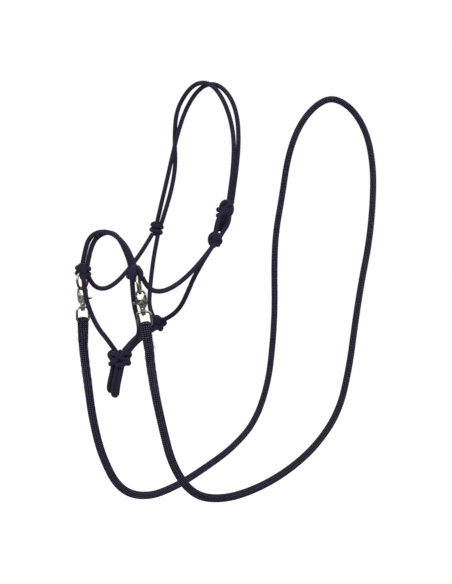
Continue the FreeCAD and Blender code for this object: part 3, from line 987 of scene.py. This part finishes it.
# %% Snap bodies
HOOK_WIRE_R = 2.0
HOOK_PITCH_R = 7.2
CHEEK_IN = 1.3
CHEEK_LOW = 2.3
CHEEK_OUT = 3.5
COLLAR_TOP = EYE_Z - 22.0
PIVOT = (4.2, EYE_Z - 13.0)
SPINE = [
    (-9.1, -33.0), (-8.9, -40.0), (-8.2, -49.9), (-6.2, -53.5), (-4.2, -56.2), (3.8, -56.2),
    (4.6, -52.0), (6.0, -49.3), (6.5, -46.5), (5.4, -43.0), (3.4, -40.6), (-4.2, -40.0),
    (-6.6, -36.5), (-5.8, -33.5),
]
LEAF = [
    (-9.0, -34.5), (-8.8, -41.0), (-8.0, -50.0), (-6.0, -53.3), (-4.0, -56.0), (3.4, -56.0),
    (3.9, -51.8), (2.4, -46.2), (-1.6, -42.6), (-5.9, -39.2), (-6.9, -36.0),
]
WEB = [(-8.7, -34.0), (-8.0, -49.9), (-3.8, -56.0), (3.6, -56.0), (4.4, -51.7), (-1.6, -51.6),
       (-1.6, -40.4), (-5.6, -38.0), (-6.2, -34.0)]


def eye_path():
    """The hook from its nose on the lever's side, over the top and down to the spine."""
    path = []
    for i in range(49):
        angle = math.radians(-9.0 + 247 * i / 48)
        path.append((HOOK_PITCH_R * math.cos(angle), 0, EYE_Z + HOOK_PITCH_R * math.sin(angle)))
    return path


for side in LEVERS:
    shapes = [
        wire(eye_path(), HOOK_WIRE_R),
        plate(SPINE, CHEEK_IN, CHEEK_LOW),
        plate(SPINE, -CHEEK_LOW, -CHEEK_IN),
        plate(LEAF, CHEEK_IN, CHEEK_OUT, bevel=0.3),
        plate(LEAF, -CHEEK_OUT, -CHEEK_IN, bevel=0.3),
        plate(WEB, -CHEEK_LOW, CHEEK_LOW),
        turned([
            (3.3, COLLAR_TOP + 1.2), (4.0, COLLAR_TOP + 0.1), (4.0, COLLAR_TOP - 2.6),
            (3.7, COLLAR_TOP - 2.95), (2.0, COLLAR_TOP - 3.0),
        ]),
    ]
    metal_piece(
        f"{side}_snap_body", shapes, hanging(side), snap_metal, f"{side}_snap",
        [f"{side}_snap_hook"], skin=0.3,
    )
    metal_piece(
        f"{side}_snap_stem",
        [
            turned([(2.0, COLLAR_TOP - 2.8), (2.0, HUB_TOP - HUB_HEIGHT - 0.2)]),
            turned([
                (3.2, -64.85), (3.4, -65.1), (3.4, -66.3), (3.0, -66.75), (2.2, -66.9),
            ]),
        ],
        hanging(side), snap_metal, f"{side}_snap",
    )
    print(f"{side} snap body drawn")

# %% [markdown]
# ## Triggers, pins and springs
# The trigger is a thin arm on a pin. Its tip closes the eye under the hook's nose and its thumb
# lever sticks out to one side, curled at the end. The leaf spring behind it in the slot keeps
# the model's own shape and is given the pins' steel.

# %% Triggers
TRIGGER = [
    (2.4, -48.3), (5.6, -49.0), (9.0, -48.7), (12.5, -47.8), (15.4, -46.9), (16.9, -45.6),
    (16.2, -44.5), (14.4, -45.2), (11.6, -45.4), (9.6, -44.6), (8.9, -42.9), (8.9, -35.7),
    (5.9, -35.7), (5.7, -40.0), (2.9, -44.7),
]
for side in LEVERS:
    place = hanging(side)
    metal_piece(
        f"{side}_trigger_arm", [plate(TRIGGER, -1.1, 1.1, bevel=0.35)], place, snap_metal,
        f"{side}_trigger", [f"{side}_snap_trigger"],
    )
    px, pz = PIVOT
    pin = [
        (0.4, -3.97), (1.2, -3.95), (1.65, -3.75), (1.65, -3.4), (0.97, -3.4), (0.97, 3.4),
        (1.65, 3.4), (1.65, 3.75), (1.2, 3.95), (0.4, 3.97),
    ]
    metal_piece(
        f"{side}_pin", [turned([(r, y) for r, y in pin], (px, 0, pz), 24, y_axis=True)],
        place, pin_metal, f"{side}_snap", [f"{side}_trigger_pin"],
    )
    spring = bpy.data.objects[f"{side}_trigger_spring"]
    spring.data.materials.clear()
    spring.data.materials.append(pin_metal)
    print(f"{side} trigger and pin drawn")

# %% [markdown]
# ## Swivel eyes
# A swivel eye is a hub that turns on the snap's stem, cast in one with a rounded rectangular
# loop of wire. The rein is folded round the loop's lower bar.

# %% Swivel eyes
SWIVEL_HALF = 11.0
SWIVEL_CORNER = 6.0
SWIVEL_TOP = HUB_TOP - HUB_HEIGHT / 2


def swivel_loop():
    """Half a turn of corners, from the hub's right side round the bar and back."""
    path = []
    inner = SWIVEL_HALF - SWIVEL_CORNER
    for x, z, first in (
        (inner, SWIVEL_TOP - SWIVEL_CORNER, 90), (inner, SWIVEL_BAR + SWIVEL_CORNER, 0),
        (-inner, SWIVEL_BAR + SWIVEL_CORNER, -90), (-inner, SWIVEL_TOP - SWIVEL_CORNER, -180),
    ):
        for i in range(9):
            angle = math.radians(first - 90 * i / 8)
            path.append((
                x + SWIVEL_CORNER * math.cos(angle), 0, z + SWIVEL_CORNER * math.sin(angle)
            ))
    return [(2.8, 0, SWIVEL_TOP), *path, (-2.8, 0, SWIVEL_TOP)]


for side in LEVERS:
    hub = [
        (2.15, HUB_TOP), (3.6, HUB_TOP), (4.05, HUB_TOP - 0.3), (4.2, HUB_TOP - 0.8),
        (4.2, HUB_TOP - HUB_HEIGHT + 0.8), (4.05, HUB_TOP - HUB_HEIGHT + 0.3),
        (3.6, HUB_TOP - HUB_HEIGHT), (2.15, HUB_TOP - HUB_HEIGHT),
    ]
    metal_piece(
        f"{side}_swivel_loop", [wire(swivel_loop(), 2.0), turned(hub)],
        hanging(side, SWIVEL_TURN[side]), snap_metal, "root",
        [f"{side}_swivel_eye"],
    )
    print(f"{side} swivel eye drawn")

# %% [markdown]
# ## What repeats: teeth and stray threads
# The rivet under each swivel has four teeth where it was spread to hold the hub, and the spliced
# rope is hairy, with a few long threads pulled loose. Both repeat one small shape, so Geometry
# Nodes place them: one group sets a shape round a circle, the other scatters a bent thread over
# a surface. Each group's result is kept as a plain mesh.

# %% Geometry Nodes groups
def new_group(name, **sockets):
    """An empty group with its own inputs, and its input node."""
    group = bpy.data.node_groups.new(name, "GeometryNodeTree")
    for socket, kind in {"Geometry": "Geometry", **sockets, "Material": "Material"}.items():
        group.interface.new_socket(socket, in_out="INPUT", socket_type=f"NodeSocket{kind}")
    group.interface.new_socket("Geometry", in_out="OUTPUT", socket_type="NodeSocketGeometry")
    return group, add(group, "NodeGroupInput").outputs


def end_group(group, instances, material):
    """The last nodes of every group: real geometry with its material."""
    real = add(group, "GeometryNodeRealizeInstances", {"Geometry": instances})
    shown = add(group, "GeometryNodeSetMaterial", {"Geometry": real, "Material": material})
    add(group, "NodeGroupOutput", {"Geometry": shown})


teeth, given = new_group("teeth round a rivet", Count="Int", Radius="Float", Size="Vector")
rim = add(teeth, "GeometryNodeMeshCircle", {"Vertices": given["Count"], "Radius": given["Radius"]})
tooth = add(teeth, "GeometryNodeMeshCube", {"Size": given["Size"]})
spot = add(teeth, "GeometryNodeInputPosition")
outwards = add(teeth, "FunctionNodeAlignRotationToVector", {"Vector": spot}, axis="X")
placed = add(teeth, "GeometryNodeInstanceOnPoints", {
    "Points": rim, "Instance": tooth, "Rotation": outwards,
})
end_group(teeth, placed.outputs[0], given["Material"])

threads, given = new_group(
    "stray threads", Density="Float", Seed="Int", Length="Float", Radius="Float"
)
roots = add(threads, "GeometryNodeDistributePointsOnFaces", {
    "Mesh": given["Geometry"], "Density": given["Density"], "Seed": given["Seed"],
})
bend = add(threads, "GeometryNodeCurvePrimitiveBezierSegment", {
    "Resolution": 5, "Start": (0, 0, -0.06), "Start Handle": (0.05, 0, 0.35),
    "End Handle": (0.35, 0.1, 0.5), "End": (0.95, 0.25, 0.42),
})
thread_ring = add(threads, "GeometryNodeCurvePrimitiveCircle", {"Resolution": 4, "Radius": 1.0})
thin = add(threads, "ShaderNodeMath", {0: given["Radius"], 1: given["Length"]}, operation="DIVIDE")
slim = add(threads, "GeometryNodeTransform", {"Geometry": thread_ring, "Scale": (1, 1, 1)})
thread = add(threads, "GeometryNodeCurveToMesh", {
    "Curve": bend, "Profile Curve": slim, "Fill Caps": True,
})
slim_scale = add(threads, "ShaderNodeCombineXYZ", {"X": thin, "Y": thin, "Z": thin})
threads.links.new(slim_scale.outputs[0], slim.inputs["Scale"])
spin = add(threads, "FunctionNodeRandomValue", {
    0: (-0.7, -0.7, 0.0), 1: (0.7, 0.7, 2 * math.pi), "Seed": given["Seed"],
}, data_type="FLOAT_VECTOR")
spun = add(threads, "FunctionNodeRotateRotation", {
    "Rotation": roots.outputs["Rotation"], "Rotate By": spin,
}, rotation_space="LOCAL")
share = add(threads, "FunctionNodeRandomValue", {2: 0.35, 3: 1.0, "Seed": given["Seed"]})
reach = add(threads, "ShaderNodeMath", {0: share.outputs[1], 1: given["Length"]}, operation="MULTIPLY")
grown = add(threads, "GeometryNodeInstanceOnPoints", {
    "Points": roots.outputs["Points"], "Instance": thread,
    "Rotation": spun, "Scale": reach,
})
end_group(threads, grown.outputs[0], given["Material"])


def grow(name, mesh, group, values, place, body):
    """A group's result on a mesh, as one plain object on a body."""
    seed = bpy.data.objects.new(name, mesh)
    bpy.context.scene.collection.objects.link(seed)
    nodes = seed.modifiers.new("nodes", "NODES")
    nodes.node_group = group
    for socket in group.interface.items_tree:
        if socket.in_out == "INPUT" and socket.name in values:
            nodes[socket.identifier] = values[socket.name]
    grown_mesh = evaluated_mesh(seed)
    bpy.data.objects.remove(seed)
    grown_mesh.transform(place)
    on_body(name, grown_mesh, body)
    print(f"{name}: {len(grown_mesh.polygons)} faces")


# %% [markdown]
# ## Teeth and threads in place
# Four teeth stand round each rivet. Each splice gets short hair all over and a few longer
# threads, with its own seed on each side.

# %% Teeth and threads
for side in LEVERS:
    rivet = hanging(side) @ Matrix.Translation((0, 0, -67.1))
    grow(
        f"{side}_rivet_teeth", bpy.data.meshes.new("empty"), teeth,
        {"Count": 4, "Radius": 2.5, "Size": (1.1, 1.7, 1.6), "Material": snap_metal},
        rivet, f"{side}_snap",
    )
    spliced = bpy.data.objects[f"{side}_rein_splice"].data
    for kind, density, length, radius in (
        ("hair", 60000.0, 3.5 * MM, 0.15 * MM), ("threads", 2500.0, 6.0 * MM, 0.25 * MM),
    ):
        grow(
            f"{side}_splice_{kind}", spliced, threads,
            {
                "Density": density, "Seed": 7 if side == "right" else 11, "Length": length,
                "Radius": radius, "Material": rein_material,
            },
            Matrix.Identity(4), "root",
        )

# %% [markdown]
# ## Floor, lights and background
# The halter hangs as if from a tack hook, above a plain pale floor. Two large soft lamps and a
# white surrounding light show it at about the colours it has. Seen directly, the surroundings
# are white, and in the metal they are mirrored as a room that is light above and dark below.
# The floor takes the soft shadow, with a little white added for the camera only.

# %% Stage
FLOOR_Z = -1.1
floor_mesh = bpy.data.meshes.new("floor")
floor_mesh.from_pydata(
    [(x, y, FLOOR_Z) for x, y in ((-12, -12), (12, -12), (12, 12), (-12, 12))],
    [], [(0, 1, 2, 3)],
)
floor_material, tree, shader = new_material(
    "matt white painted floor", {"Base Color": linear("#f4f4f2"), "Roughness": 0.9}
)
rays = add(tree, "ShaderNodeLightPath")
glow = add(tree, "ShaderNodeEmission", {"Strength": 0.6})
lit = add(tree, "ShaderNodeAddShader", {0: shader.outputs["BSDF"], 1: glow})
dull = add(tree, "ShaderNodeEmission", {"Strength": 0.22})
unseen = add(
    tree, "ShaderNodeMixShader",
    {0: rays.outputs["Is Glossy Ray"], 1: shader.outputs["BSDF"], 2: dull},
)
shown = add(tree, "ShaderNodeMixShader", {0: rays.outputs["Is Camera Ray"], 1: unseen, 2: lit})
output = next(n for n in tree.nodes if n.type == "OUTPUT_MATERIAL")
tree.links.new(shown.outputs[0], output.inputs["Surface"])
floor_mesh.materials.append(floor_material)
floor = bpy.data.objects.new("floor", floor_mesh)
bpy.context.scene.collection.objects.link(floor)

world = bpy.data.worlds.new("soft white room")
world.use_nodes = True
room = world.node_tree
room.nodes.clear()
room_rays = add(room, "ShaderNodeLightPath")
look = add(room, "ShaderNodeTexCoord")
look_parts = add(room, "ShaderNodeSeparateXYZ", {0: look.outputs["Generated"]})
mirrored = add(
    room, "ShaderNodeMapRange",
    {
        "Value": look_parts.outputs["Z"], "From Min": -0.25, "From Max": 0.6, "To Min": 0.03,
        "To Max": 1.5,
    },
    interpolation_type="SMOOTHSTEP",
)
lighting = add(room, "ShaderNodeMix", {0: room_rays.outputs["Is Glossy Ray"], 2: 0.4, 3: mirrored})
room_level = add(
    room, "ShaderNodeMix",
    {0: room_rays.outputs["Is Camera Ray"], 2: lighting, 3: 1.0},
)
room_light = add(room, "ShaderNodeBackground", {"Color": (1, 1, 1, 1), "Strength": room_level})
add(room, "ShaderNodeOutputWorld", {"Surface": room_light})
bpy.context.scene.world = world

MIDDLE = Vector((0, 0, -0.33))


def soft_lamp(name, place, size, power):
    lamp_data = bpy.data.lights.new(name, "AREA")
    lamp_data.shape = "DISK"
    lamp_data.size = size
    lamp_data.energy = power
    lamp = bpy.data.objects.new(name, lamp_data)
    lamp.location = place
    lamp.rotation_mode = "QUATERNION"
    lamp.rotation_quaternion = (MIDDLE - lamp.location).to_track_quat("-Z", "Y")
    bpy.context.scene.collection.objects.link(lamp)


soft_lamp("front lamp", (0.9, -2.2, 0.9), 1.2, 30)
soft_lamp("left lamp", (2.0, 0.4, 1.2), 1.4, 18)
bpy.context.scene.view_settings.view_transform = "Standard"
print("stage set")
